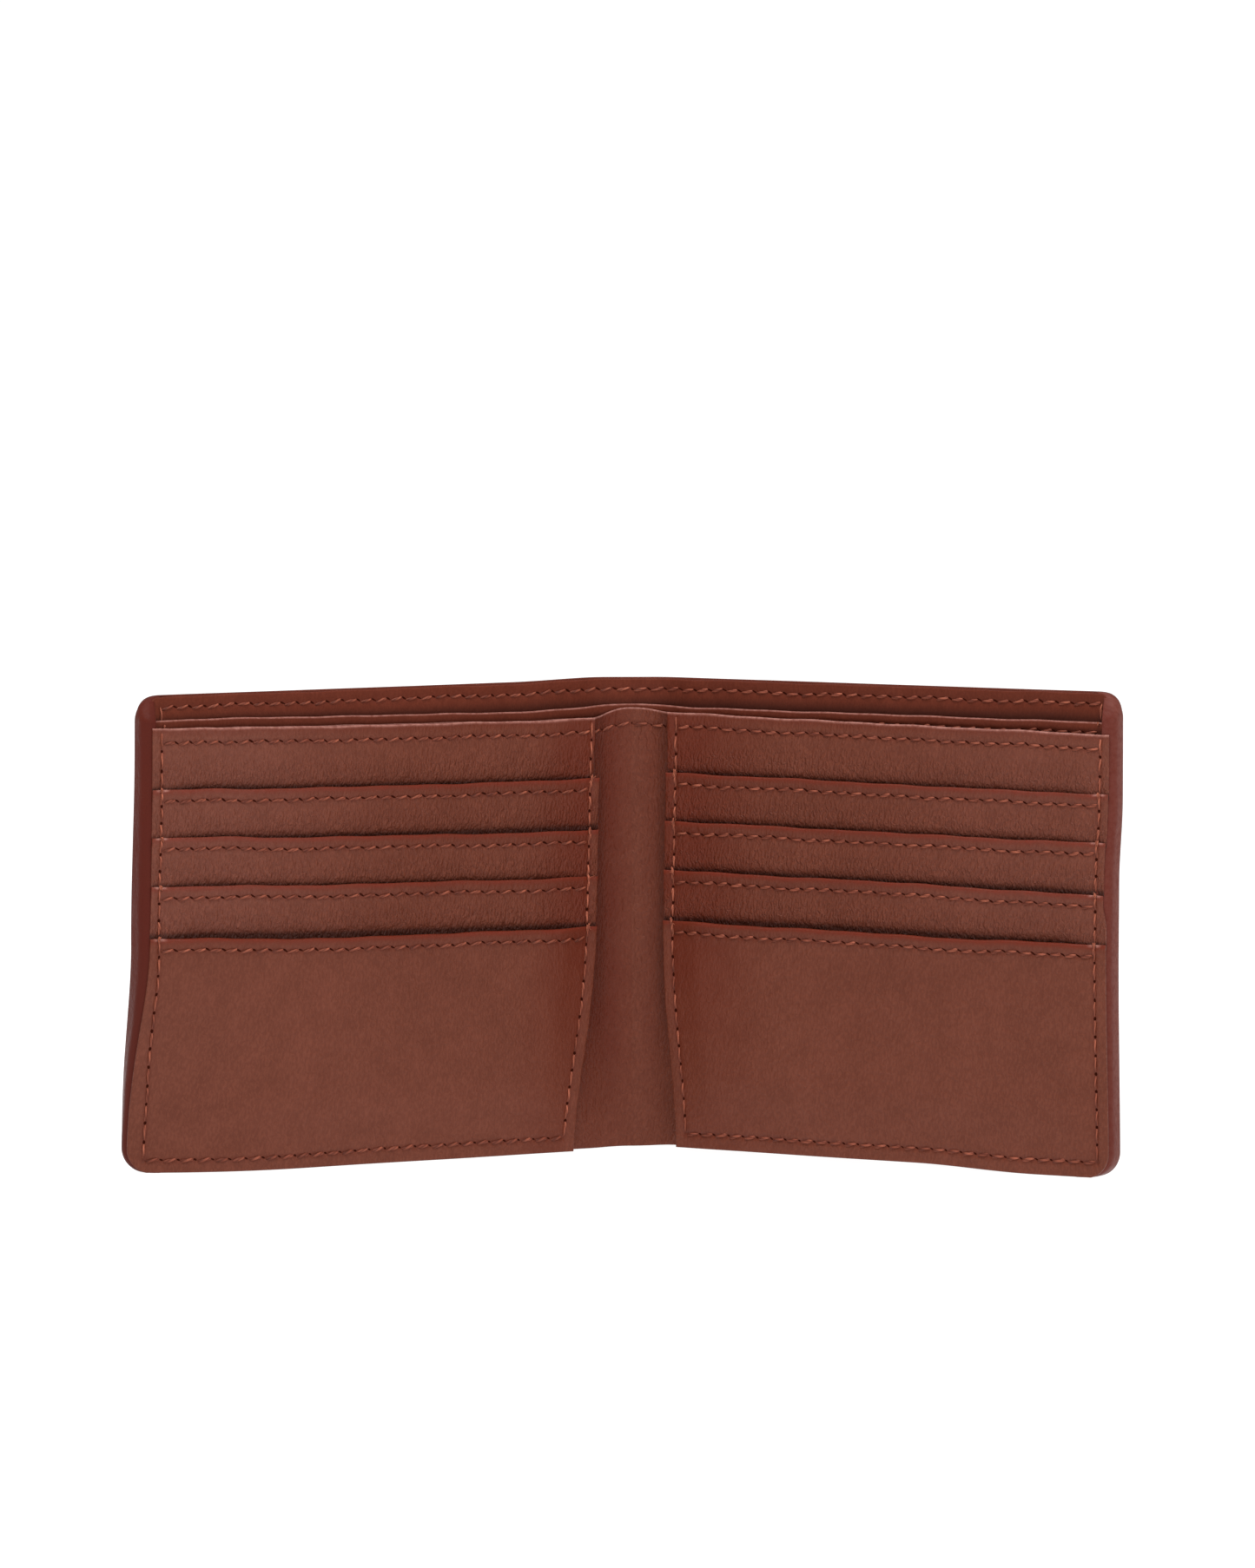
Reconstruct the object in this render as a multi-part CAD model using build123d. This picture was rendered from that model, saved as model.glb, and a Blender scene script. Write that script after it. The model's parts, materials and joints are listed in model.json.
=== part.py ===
"""Bifold leather wallet, standing half open on its lower edge.

Two halves with four card slots each hinge on a leather spine. Every layer of
leather, each stiffener and the thread of each seam is a part of its own.

Frame: +Z up, X along the open wallet, the inside of the wallet towards -Y.
The origin is the middle of the footprint, on the surface it stands on.
The right half is drawn flat, then folded in; the left half is its mirror image.
In a half, u runs from the hinge axis to the free end, and depth runs from the
outer face of the cover to the inside of the wallet.
"""
from build123d import *
import math
import os

# ---- overall size (millimetres, degrees) ----
height = 95.0             # standing edge to top edge of the cover
half_length = 104.6       # hinge axis to free end
corner_radius = 5.0       # rounded corners of the free ends
rest_angle = 30.0         # fold of each half at rest, measured from flat

# ---- hinge lines ----
hinge_x = 6.5             # middle of the spine to each hinge axis
hinge_depth = 2.0         # outer face of the cover to the hinge axis
cover_gap = 0.15          # cover leather to the hinge axis, on both sides of it
lining_start = 0.6        # hinge axis to the lining, on both sides of it
inner_start = 2.5         # hinge axis to the divider and card panel of a half

# ---- thickness of the layers ----
cover_leather = 1.2
stiffener_board = 0.4
lining_leather = 0.6
bill_gap = 0.4            # empty banknote compartment, in a half
spine_gap = 0.2           # the same compartment, pinched at the spine
panel_leather = 0.6       # divider, inner panel, card backing and front pocket
pocket_leather = 0.5      # card pockets behind the front pocket

# ---- heights of the layers ----
lining_top = height - 0.7
divider_top = height - 4.0
panel_top = height - 6.4
hem_height = 4.0          # turned top edge of the cover
first_mouth = 76.4        # mouth of the uppermost card slot
mouth_step = 9.9          # from one mouth down to the next
hanging_pockets = 3
pocket_reach = 44.0       # mouth to bottom edge of a hanging pocket
turned_edge = 2.4         # width of the turned edges that close a compartment

# ---- stiffener outline ----
stiffener_start = 3.0
stiffener_margin = 1.5
stiffener_foot = 0.5

# ---- seams ----
thread_width = 0.6
thread_proud = 0.4        # inside the wallet
outer_proud = 0.3         # outside the wallet
side_margin = 2.2         # panel edge to its side seams
bottom_margin = 3.1       # standing edge to the bottom seam
cover_hem_seam = height - 2.4
divider_seam = divider_top - 1.6
panel_seam = panel_top - 2.9
mouth_margin = 2.35       # pocket mouth to its seam
seam_clearance = 0.1      # end of one seam's thread to the next seam's

# ---- depths that follow from the layers ----
lining_depth = cover_leather + stiffener_board
divider_depth = lining_depth + lining_leather + bill_gap
base_depth = divider_depth + panel_leather + bill_gap
backing_depth = base_depth + panel_leather
pocket_depth = backing_depth + panel_leather
front_depth = pocket_depth + hanging_pockets * pocket_leather
stack_depth = front_depth + panel_leather
front_mouth = first_mouth - hanging_pockets * mouth_step

# ---- places that follow from the rest pose ----
fold = math.radians(rest_angle)
front_reach = (
    hinge_depth
    + half_length * math.sin(fold)
    + (stack_depth - hinge_depth) * math.cos(fold)
)
frame_shift = Pos(0, front_reach / 2, 0)
hinge_axis = Axis((hinge_x, -hinge_depth, 0), (0, 0, 1))


def plate(x_span, z_span, depth, thickness):
    """Flat piece of leather between two x values and two heights."""
    size = (x_span[1] - x_span[0], thickness, z_span[1] - z_span[0])
    corner = Pos(x_span[0], -(depth + thickness), z_span[0])
    return corner * Box(*size, align=(Align.MIN, Align.MIN, Align.MIN))


def half_plate(u_span, z_span, depth, thickness):
    """Flat piece of the right half, before its corners are rounded."""
    x_span = (hinge_x + u_span[0], hinge_x + u_span[1])
    return plate(x_span, z_span, depth, thickness)


def half_outline():
    """Block with the rounded outline of a half, deep enough to trim any layer."""
    block = half_plate((0, half_length), (0, height), -1, stack_depth + 2)
    free_edges = block.edges().filter_by(Axis.Y).group_by(Axis.X)[-1]
    return fillet(free_edges, corner_radius)


outline = half_outline()


def layer(start, z_span, depth, thickness):
    """One layer of the right half, from u = start to the rounded free end."""
    return half_plate((start, half_length), z_span, depth, thickness) & outline


def pocket_mouth(index):
    """Height of a card slot's mouth, counted down from 0."""
    return first_mouth - index * mouth_step


def pocket_face(index):
    """Depth of the visible face of a card pocket, counted down from 0."""
    if index == hanging_pockets:
        return stack_depth
    return pocket_depth + (index + 1) * pocket_leather


def make_cover():
    """Outer leather with its turned top hem."""
    skin = layer(cover_gap, (0, height), 0, cover_leather)
    hem = layer(cover_gap, (height - hem_height, height), cover_leather, stiffener_board)
    return skin + hem


def make_stiffener():
    """Board between the cover and its lining."""
    u_span = (stiffener_start, half_length - stiffener_margin)
    z_span = (stiffener_foot, height - hem_height - stiffener_foot)
    board = half_plate(u_span, z_span, cover_leather, stiffener_board)
    free_edges = board.edges().filter_by(Axis.Y).group_by(Axis.X)[-1]
    return fillet(free_edges, corner_radius - stiffener_margin)


def turned_rim(z_top, depth, thickness):
    """Turned edge along the bottom and the free end, which closes a compartment."""
    rim = layer(inner_start, (0, z_top), depth, thickness)
    inside_u = (0, half_length - turned_edge)
    return rim - half_plate(inside_u, (turned_edge, height), depth, thickness)


def make_divider():
    """Sheet between the two banknote compartments, with turned edges on both faces."""
    sheet = layer(inner_start, (0, divider_top), divider_depth, panel_leather)
    outer_rim = turned_rim(panel_top, divider_depth - bill_gap, bill_gap)
    inner_rim = turned_rim(panel_top, divider_depth + panel_leather, bill_gap)
    return sheet + outer_rim + inner_rim


def make_pocket(index):
    """Card pocket that hangs behind the front pocket."""
    mouth = pocket_mouth(index)
    depth = pocket_depth + index * pocket_leather
    return layer(inner_start, (mouth - pocket_reach, mouth), depth, pocket_leather)


def make_front_pocket():
    """Tall pocket with a turned edge that fills the step below the hanging pockets."""
    sheet = layer(inner_start, (0, front_mouth), front_depth, panel_leather)
    lowest_pocket = pocket_mouth(hanging_pockets - 1) - pocket_reach
    rim = turned_rim(lowest_pocket, pocket_depth, front_depth - pocket_depth)
    return sheet + rim


def thread_bar(u_span, z_span, face_depth, proud):
    """Straight run of thread lying on a face of the right half."""
    return half_plate(u_span, z_span, face_depth, proud)


def level_seam(z, face_depth, u_span):
    """Seam along the half at one height, between its two side seams."""
    z_span = (z - thread_width / 2, z + thread_width / 2)
    return thread_bar(u_span, z_span, face_depth, thread_proud)


side_seams = (inner_start + side_margin, half_length - side_margin)
between_sides = (
    side_seams[0] + thread_width / 2 + seam_clearance,
    side_seams[1] - thread_width / 2 - seam_clearance,
)


def climbing_seam(u):
    """Side seam that climbs from the front pocket to the card backing, step by step."""
    u_span = (u - thread_width / 2, u + thread_width / 2)
    low = bottom_margin - thread_width / 2
    seam = None
    for index in range(hanging_pockets, -1, -1):
        mouth = pocket_mouth(index)
        face = pocket_face(index)
        face_above = pocket_face(index - 1) if index else pocket_depth
        run = thread_bar(u_span, (low, mouth), face, thread_proud)
        rise_depth = face - face_above + thread_proud
        rise = thread_bar(u_span, (mouth, mouth + thread_width), face_above, rise_depth)
        seam = run + rise if seam is None else seam + run + rise
        low = mouth
    last_run = thread_bar(u_span, (low, panel_seam + thread_width / 2), pocket_depth, thread_proud)
    return seam + last_run


def make_panel_seam():
    """Both side seams and the bottom seam of the card panel, sewn with one thread."""
    z_span = (bottom_margin - thread_width / 2, bottom_margin + thread_width / 2)
    bottom = thread_bar(side_seams, z_span, stack_depth, thread_proud)
    return bottom + climbing_seam(side_seams[0]) + climbing_seam(side_seams[1])


def make_outer_seam():
    """Thread on the outer face of the cover: top hem, free end and bottom."""
    half_width = thread_width / 2
    u_span = (side_seams[0], side_seams[1] + half_width)
    seam = half_plate(
        (side_seams[1] - half_width, side_seams[1] + half_width),
        (bottom_margin, cover_hem_seam),
        -outer_proud,
        outer_proud,
    )
    for z in (bottom_margin, cover_hem_seam):
        z_span = (z - half_width, z + half_width)
        seam += half_plate(u_span, z_span, -outer_proud, outer_proud)
    return seam


def make_half():
    """Every piece of the right half, still flat, by name."""
    pieces = {
        "cover": make_cover(),
        "stiffener": make_stiffener(),
        "cover_lining": layer(lining_start, (0, lining_top), lining_depth, lining_leather),
        "divider": make_divider(),
        "inner_panel": layer(inner_start, (0, panel_top), base_depth, panel_leather),
        "card_backing": layer(inner_start, (0, panel_top), backing_depth, panel_leather),
        "front_pocket": make_front_pocket(),
        "cover_hem_thread": level_seam(
            cover_hem_seam, lining_depth + lining_leather, side_seams
        ),
        "divider_thread": level_seam(
            divider_seam, divider_depth + panel_leather, side_seams
        ),
        "panel_hem_thread": level_seam(panel_seam, pocket_depth, between_sides),
        "panel_thread": make_panel_seam(),
        "outer_thread": make_outer_seam(),
    }
    for index in range(hanging_pockets):
        pieces[f"card_pocket_{index + 1}"] = make_pocket(index)
    for index in range(hanging_pockets + 1):
        name = f"slot_thread_{index + 1}"
        z = pocket_mouth(index) - mouth_margin
        pieces[name] = level_seam(z, pocket_face(index), between_sides)
    return pieces


def make_spine():
    """Every piece of the spine, by name."""
    cover_half = hinge_x - cover_gap
    inner_half = hinge_x - lining_start
    cover_span = (-cover_half, cover_half)
    inner_span = (-inner_half, inner_half)
    hem_span = (height - hem_height, height)

    cover = plate(cover_span, (0, height), 0, cover_leather)
    cover += plate(inner_span, hem_span, cover_leather, stiffener_board)
    divider_at = lining_depth + lining_leather + spine_gap
    panel_at = divider_at + panel_leather + spine_gap
    divider = plate(inner_span, (0, divider_top), divider_at, panel_leather)
    for depth in (divider_at - spine_gap, divider_at + panel_leather):
        divider += plate(inner_span, (0, turned_edge), depth, spine_gap)

    pieces = {
        "spine_cover": cover,
        "spine_lining": plate(inner_span, (0, lining_top), lining_depth, lining_leather),
        "spine_divider": divider,
        "spine_inner_panel": plate(inner_span, (0, panel_top), panel_at, panel_leather),
    }
    seams = {
        "spine_cover_hem_thread": (cover_hem_seam, lining_depth + lining_leather),
        "spine_divider_thread": (divider_seam, divider_at + panel_leather),
        "spine_panel_hem_thread": (panel_seam, panel_at + panel_leather),
    }
    for name, (z, face_depth) in seams.items():
        z_span = (z - thread_width / 2, z + thread_width / 2)
        pieces[name] = plate(inner_span, z_span, face_depth, thread_proud)
    return pieces


def build():
    """All pieces in the rest pose, by node name."""
    nodes = {name: frame_shift * piece for name, piece in make_spine().items()}
    for name, piece in make_half().items():
        folded = piece.rotate(hinge_axis, -rest_angle)
        nodes[f"right_{name}"] = frame_shift * folded
        nodes[f"left_{name}"] = frame_shift * mirror(folded, about=Plane.YZ)
    return nodes


os.makedirs("parts", exist_ok=True)
for node, shape in build().items():
    export_step(shape, f"parts/{node}.step")
print(f"hinge axes at x = {hinge_x:.3f}, y = {front_reach / 2 - hinge_depth:.4f}")
print(f"overall depth {front_reach:.3f}, stack depth {stack_depth:.2f}")
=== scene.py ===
"""Looks of the bifold wallet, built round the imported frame.

Lengths are in millimetres until a mesh is made. Flat leather coordinates of a
half are t, along the leather from the middle of the spine; depth, from the
outer face of the cover to the inside of the wallet; and z, up.
"""
import copy
import json
import math
from collections import namedtuple

import bpy
import numpy as np
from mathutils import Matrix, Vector


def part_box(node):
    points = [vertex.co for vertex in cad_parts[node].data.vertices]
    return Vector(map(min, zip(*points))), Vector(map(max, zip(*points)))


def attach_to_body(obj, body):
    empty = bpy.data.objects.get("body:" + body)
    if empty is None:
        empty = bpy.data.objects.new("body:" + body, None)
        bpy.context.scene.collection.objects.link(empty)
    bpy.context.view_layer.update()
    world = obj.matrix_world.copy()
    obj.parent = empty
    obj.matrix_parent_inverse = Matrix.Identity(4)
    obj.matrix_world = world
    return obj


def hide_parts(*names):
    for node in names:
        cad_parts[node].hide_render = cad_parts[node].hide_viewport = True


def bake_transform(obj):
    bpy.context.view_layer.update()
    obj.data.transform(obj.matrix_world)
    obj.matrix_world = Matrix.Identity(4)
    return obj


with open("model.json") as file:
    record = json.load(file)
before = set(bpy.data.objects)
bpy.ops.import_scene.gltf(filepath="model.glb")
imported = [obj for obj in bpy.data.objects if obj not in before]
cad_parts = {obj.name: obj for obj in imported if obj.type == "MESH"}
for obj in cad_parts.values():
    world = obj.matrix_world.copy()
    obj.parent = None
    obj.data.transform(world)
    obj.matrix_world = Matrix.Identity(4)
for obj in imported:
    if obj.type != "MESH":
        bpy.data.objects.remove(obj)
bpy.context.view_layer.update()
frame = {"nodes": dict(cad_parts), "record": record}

MM = 0.001


# ---- the frame
JOINTS = {joint["name"]: joint for joint in frame["record"]["behaviour"]["joints"]}
HINGE_X = JOINTS["right_fold"]["pos_m"][0] / MM
HINGE_Y = JOINTS["right_fold"]["pos_m"][1] / MM
REST_TURN = -math.radians(JOINTS["right_fold"]["range_deg"][0])
HINGE_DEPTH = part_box("spine_cover")[1].y / MM - HINGE_Y

Span = namedtuple("Span", "start end outer inner low high")


def flat_span(node):
    """Limits of a right-half CAD node as if its half were flat: t, depth and z."""
    vertices = frame["nodes"][node].data.vertices
    x, y, z = np.array([vertex.co for vertex in vertices], float).T / MM
    x = x - HINGE_X
    y = y - HINGE_Y
    t = HINGE_X + x * math.cos(REST_TURN) - y * math.sin(REST_TURN)
    depth = HINGE_DEPTH - x * math.sin(REST_TURN) - y * math.cos(REST_TURN)
    return Span(t.min(), t.max(), depth.min(), depth.max(), z.min(), z.max())


COVER = flat_span("right_cover")
STIFFENER = flat_span("right_stiffener")
LINING = flat_span("right_cover_lining")
DIVIDER = flat_span("right_divider")
INNER = flat_span("right_inner_panel")
PANEL_NAMES = ["card_backing", "card_pocket_1", "card_pocket_2", "card_pocket_3", "front_pocket"]
PANEL_LAYERS = [flat_span(f"right_{name}") for name in PANEL_NAMES]
PANEL_THREAD = flat_span("right_panel_thread")
PANEL_HEM = flat_span("right_panel_hem_thread")
COVER_HEM = flat_span("right_cover_hem_thread")
SLOT_THREADS = [flat_span(f"right_slot_thread_{index}") for index in (1, 2, 3, 4)]

END = COVER.end
HEIGHT = COVER.high
CORNER = 5.0
COVER_LEATHER = 1.2
SHEET = INNER.inner - INNER.outer
THREAD = PANEL_HEM.high - PANEL_HEM.low
INNER_SEAM = PANEL_THREAD.start + THREAD / 2
BOTTOM_SEAM = PANEL_THREAD.low + THREAD / 2
TOP_SEAM = COVER_HEM.low + THREAD / 2
MOUTH_SEAMS = [span.low + THREAD / 2 for span in (PANEL_HEM, *SLOT_THREADS)]
PITCH = 3.4           # stitches of the level seams
SIDE_PITCH = 3.75     # and of the side seams
STITCH_TILT = math.radians(12.0)


# ---- small maths
def smooth(x):
    """0 below 0, 1 above 1, and an even S between them."""
    x = np.clip(x, 0.0, 1.0)
    return x * x * (3 - 2 * x)


def bump(x):
    """1 at 0, falling evenly to nothing by about 2 either way."""
    return np.exp(-x * x)


def wobble(x, seed, waves=(41.0, 23.0, 12.0)):
    """Slow uneven wave of about plus or minus 1."""
    starts = (1.7 * seed + 2.3 * index for index in range(len(waves)))
    return sum(np.sin(2 * np.pi * x / wave + s) for wave, s in zip(waves, starts)) / len(waves)


# ---- the fold
BEND = 3.5            # leather either side of a hinge line that takes the bend
LOW_PART = 46.0       # below this height the halves spread a little
TABLE_STEP = 0.25


class Fold:
    """Places the flat leather of one half in the rest pose."""

    def __init__(self, sign, extra_turn, curl, draw, flare, widen, top_lift, low_lift, seed):
        self.sign = sign
        self.seed = seed
        self.top_lift = top_lift
        self.low_lift = low_lift
        t = np.arange(0, END + 4, TABLE_STEP)
        z = np.arange(0, HEIGHT + 2, 1.0)
        tt, zz = np.meshgrid(t, z, indexing="ij")
        low = smooth(1 - zz / LOW_PART)
        turn = REST_TURN + extra_turn
        angle = turn * smooth((tt - HINGE_X + BEND) / (2 * BEND))
        outer = low * smooth((tt - 0.62 * END) / (0.38 * END))
        angle = angle - curl * outer
        across = np.cos(angle)
        forward = -np.sin(angle)
        x = np.zeros_like(tt)
        y = np.zeros_like(tt)
        x[1:] = np.cumsum((across[1:] + across[:-1]) / 2, axis=0) * TABLE_STEP
        y[1:] = np.cumsum((forward[1:] + forward[:-1]) / 2, axis=0) * TABLE_STEP
        x += flare * low * smooth(tt / 22) + widen(zz) * tt / END - draw * outer
        self.table = np.stack([x, y, angle])

    def look_up(self, t, z):
        """x, y and angle of the reference curve at t and z."""
        rows, columns = self.table.shape[1:]
        i = np.clip(t / TABLE_STEP, 0, rows - 1.001)
        j = np.clip(z, 0, columns - 1.001)
        i0 = i.astype(int)
        j0 = j.astype(int)
        fi = i - i0
        fj = j - j0
        table = self.table
        lower = table[:, i0, j0] * (1 - fi) + table[:, i0 + 1, j0] * fi
        upper = table[:, i0, j0 + 1] * (1 - fi) + table[:, i0 + 1, j0 + 1] * fi
        return lower * (1 - fj) + upper * fj

    def place(self, t, depth, z):
        """Points of the rest pose, in metres."""
        t, depth, z = np.broadcast_arrays(t, depth, z)
        x, y, angle = self.look_up(t, z)
        wave = 0.22 * wobble(t + 0.35 * z, self.seed, (63.0, 37.0)) * smooth(t / 30)
        out = HINGE_DEPTH - depth + wave
        x = x + out * np.sin(angle)
        y = y + out * np.cos(angle)
        high = np.clip(z / HEIGHT, 0, 1)
        up = z + high * self.top_lift(t) + (1 - high) * self.low_lift(t)
        return np.stack([self.sign * x, HINGE_Y + y, up], -1) * MM


FOLDS = {
    "left": Fold(
        -1, math.radians(0.0), math.radians(29), 1.9, 1.15,
        widen=lambda z: 1.15 - 0.8 * smooth((z - 45) / 40),
        top_lift=lambda t: 0.45 * (1 - smooth((t - 6) / 20)),
        low_lift=lambda t: 0.35 * (1 - smooth(t / 9)),
        seed=1,
    ),
    "right": Fold(
        1, math.radians(1.2), math.radians(3), 0.0, 0.0,
        widen=lambda z: 0.6 * smooth((z - 58) / 16) - 0.3,
        top_lift=lambda t: 0.45 + 0.40 * t / END,
        low_lift=lambda t: (0.35 + 0.42 * smooth(t / 12)) * (1 - smooth((t - 68) / 27)),
        seed=4,
    ),
}


# ---- outline of a half
def end_at(z):
    """t of the free end, with its two rounded corners."""
    low = np.clip(CORNER - z, 0, CORNER)
    high = np.clip(z - (HEIGHT - CORNER), 0, CORNER)
    cut = np.maximum(low, high)
    return END - CORNER + np.sqrt(np.maximum(CORNER**2 - cut**2, 0))


TAPER = {"left": 2.4, "right": 3.2}     # how far the inner seam swings out at the foot
LEAN = {"left": 0.045, "right": 0.0}    # and how it leans above that


def wall_depth(z):
    """Depth that the turned-in cover reaches at the free end."""
    full = 6.45 - 0.95 * smooth((z - 40) / 50)
    return 2.2 + (full - 2.2) * smooth((HEIGHT - z) / 5.0)


def outer_seam(side, z):
    """t of the side seam at the free end."""
    if side == "left":
        return END - 3.5 - 0.35 * smooth((z - 50) / 20) - 0.85 * smooth((32 - z) / 22)
    return END - 2.7 - 0.2 * smooth((z - 58) / 16)


def inner_seam(side, z):
    """t of the side seam beside the spine."""
    taper = TAPER[side] * smooth(1 - z / LOW_PART) ** 1.2
    return INNER_SEAM + LEAN[side] * (58 - z) + taper


def panel_end(side, z):
    """t where the card panel's leathers end on the turned-in cover."""
    if side == "left":
        return end_at(z) - 1.04 - 0.8 * smooth((z - 20) / 40)
    return end_at(z) - 1.04 + 0.75 * smooth((55 - z) / 5)


def turned_in(t):
    """1 at the free end, where the cover's turned edge lies under the other leathers."""
    return smooth((t - (END - 16)) / 11)


def pinned(side, t, z, reach=7.0):
    """0 on the two side seams of the card panel and 1 well between them."""
    from_spine = smooth((t - inner_seam(side, z)) / reach)
    return from_spine * smooth((outer_seam(side, z) - t) / reach)


def panel_tilt(side, t):
    """How much higher than level the card slots and the panel's top edge run."""
    if side == "left":
        run = -0.77 + 0.0150 * (t - 9)
    else:
        run = 0.13 - 0.0085 * (t - 14)
    return run * smooth((t - 1) / 8)


# ---- seams
class Seam:
    """Line of stitches on a sheet, level or upright."""

    def __init__(self, side, level, at, start, end, pitch=PITCH):
        self.side = side
        self.sign = FOLDS[side].sign
        self.level = level
        self.at = at
        self.start = start
        self.count = max(1, round((end - start) / pitch))
        self.pitch = (end - start) / self.count
        self.length = end - start
        self.thick = 1.0

    def local(self, t, z):
        """Distance along the seam and away from it."""
        if self.level:
            return t - self.start, z - self.at(t)
        return z - self.start, t - self.at(z)

    def point(self, along, away):
        """t and z of a point given along and away from the seam."""
        if self.level:
            t = self.start + along
            return t, self.at(t) + away
        z = self.start + along
        return self.at(z) + away, z

    def inside(self, along):
        """1 along the seam, fading out past its ends."""
        return smooth((along + 0.8) / 0.8) * smooth((self.length + 0.8 - along) / 0.8)

    def press(self, t, z):
        """How far the stitches pull the leather in."""
        along, away = self.local(t, z)
        near_hole = 0.5 + 0.5 * np.cos(2 * np.pi * along / self.pitch)
        pull = 0.12 * bump(away / 0.6) + 0.13 * bump(away / 0.42) * near_hole
        return pull * self.inside(along)

    def near(self, t, z):
        """1 beside the stitches, where the leather is rubbed dark, and 0 from 0.8 mm away."""
        along, away = self.local(t, z)
        return smooth((0.85 - np.abs(away)) / 0.6) * self.inside(along)


# ---- sheets of leather
RIM = 0.3    # rounding of a plain cut edge


def grid_lines(low, high, step, fine=(), fine_step=0.25, rim=RIM):
    """Grid lines from low to high: closer together in the fine zones and at both rims."""
    ends = rim * (1 - np.cos(np.linspace(0, np.pi / 2, 5)))[:-1]
    lines = []
    at = low + rim
    while at < high - rim - 0.1:
        lines.append(at)
        in_fine = any(a <= at <= b for a, b in fine)
        at += fine_step if in_fine else step
        for a, b in fine:
            if lines[-1] < a < at:
                at = a
    lines.append(high - rim)
    return np.concatenate([low + ends, lines, (high - ends)[::-1]])


class Sheet:
    """Grid of a sheet: t from start(z) to end(z) on even columns, z on given rows."""

    def __init__(self, side, columns, rows, start, end):
        self.side = side
        self.fold = FOLDS[side]
        share = (columns - columns[0]) / (columns[-1] - columns[0])
        share, z = np.meshgrid(share, rows, indexing="ij")
        first = start(z)
        last = end(z)
        self.z = z
        self.t = first + share * (last - first)
        self.gaps = {"start": self.t - first, "end": last - self.t,
                     "low": z - rows[0], "high": rows[-1] - z}
        self.tone = np.zeros(z.shape + (3,))     # wear and painted loss of sheen, painted shade, coarse
        self.lines = np.zeros(z.shape + (3,))    # beside stitches, red, painted highlight

    def edge(self, rims):
        """1 on the border, 0 from the rim's width inwards."""
        most = np.zeros_like(self.t)
        for name, gap in self.gaps.items():
            width = rims.get(name, RIM)
            if width:
                most = np.maximum(most, 1 - np.clip(gap / width, 0, 1))
        return most


def build_sheet(name, sheet, face, back, material, rims, seams=(), lift=0.0, place=None,
                outward=False, uv_shift=0.0):
    """Closed mesh of a sheet with rounded rims. Face and back are depths on the grid."""
    t = sheet.t
    z = sheet.z + lift
    border = sheet.edge(rims)
    share = 1 - np.sqrt(np.maximum(1 - border**2, 0))
    middle = (face + back) / 2
    face = face + (middle - face) * share
    back = back + (middle - back) * share
    place = place or sheet.fold.place
    front_points = place(t, face, z)
    back_points = place(t, back, z)

    columns, rows = t.shape
    index = np.arange(columns * rows).reshape(columns, rows)
    back_index = index.copy()
    hidden = np.zeros((columns, rows), bool)
    hidden[1:-1, 1:-1] = True
    back_index[hidden] = columns * rows + np.arange(hidden.sum())

    def quads(grid, flip):
        a, b, c, d = grid[:-1, :-1], grid[1:, :-1], grid[1:, 1:], grid[:-1, 1:]
        order = (a, d, c, b) if flip else (a, b, c, d)
        return np.stack(order, -1).reshape(-1, 4)

    flip = (sheet.fold.sign < 0) != outward
    faces = np.concatenate([quads(index, flip), quads(back_index, not flip)])
    points = np.concatenate([front_points.reshape(-1, 3), back_points[hidden]])

    sign = sheet.fold.sign
    flat = np.stack([sign * t / 100 + uv_shift, z / 100 + uv_shift], -1)
    uv = np.concatenate([flat.reshape(-1, 2), flat[hidden]])
    for seam in seams:
        sheet.lines[..., 0] = np.maximum(sheet.lines[..., 0], seam.near(t, sheet.z))
    attributes = {}
    for label, values in (("lines", sheet.lines), ("tone", sheet.tone)):
        attributes[label] = np.concatenate([values.reshape(-1, 3), values[hidden]])
    return make_mesh(name, points, faces, uv, attributes, material)


def add_object(name, data):
    """Object that shows the data in the scene."""
    made = bpy.data.objects.new(name, data)
    bpy.context.scene.collection.objects.link(made)
    return made


def make_mesh(name, points, faces, uv, attributes, material):
    """Smooth mesh object from arrays of points, quads and values per point."""
    mesh = bpy.data.meshes.new(name)
    mesh.vertices.add(len(points))
    mesh.vertices.foreach_set("co", points.astype(np.float32).ravel())
    corners = faces.ravel()
    mesh.loops.add(len(corners))
    mesh.loops.foreach_set("vertex_index", corners.astype(np.int32))
    mesh.polygons.add(len(faces))
    starts = np.arange(0, len(corners), faces.shape[1], dtype=np.int32)
    mesh.polygons.foreach_set("loop_start", starts)
    mesh.polygons.foreach_set("use_smooth", np.ones(len(faces), bool))
    layer = mesh.uv_layers.new(name="leather")
    layer.data.foreach_set("uv", uv[corners].astype(np.float32).ravel())
    for label, values in attributes.items():
        attribute = mesh.attributes.new(label, "FLOAT_VECTOR", "POINT")
        attribute.data.foreach_set("vector", values.astype(np.float32).ravel())
    mesh.update(calc_edges=True)
    mesh.validate()
    mesh.materials.append(material)
    return add_object(name, mesh)


# ---- thread
RINGS = 12
SIDES = 10
STRAND = np.linspace(-0.5, 0.5, RINGS)[:, None]
AROUND = np.linspace(0, 2 * np.pi, SIDES, endpoint=False)[None, :]


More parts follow.
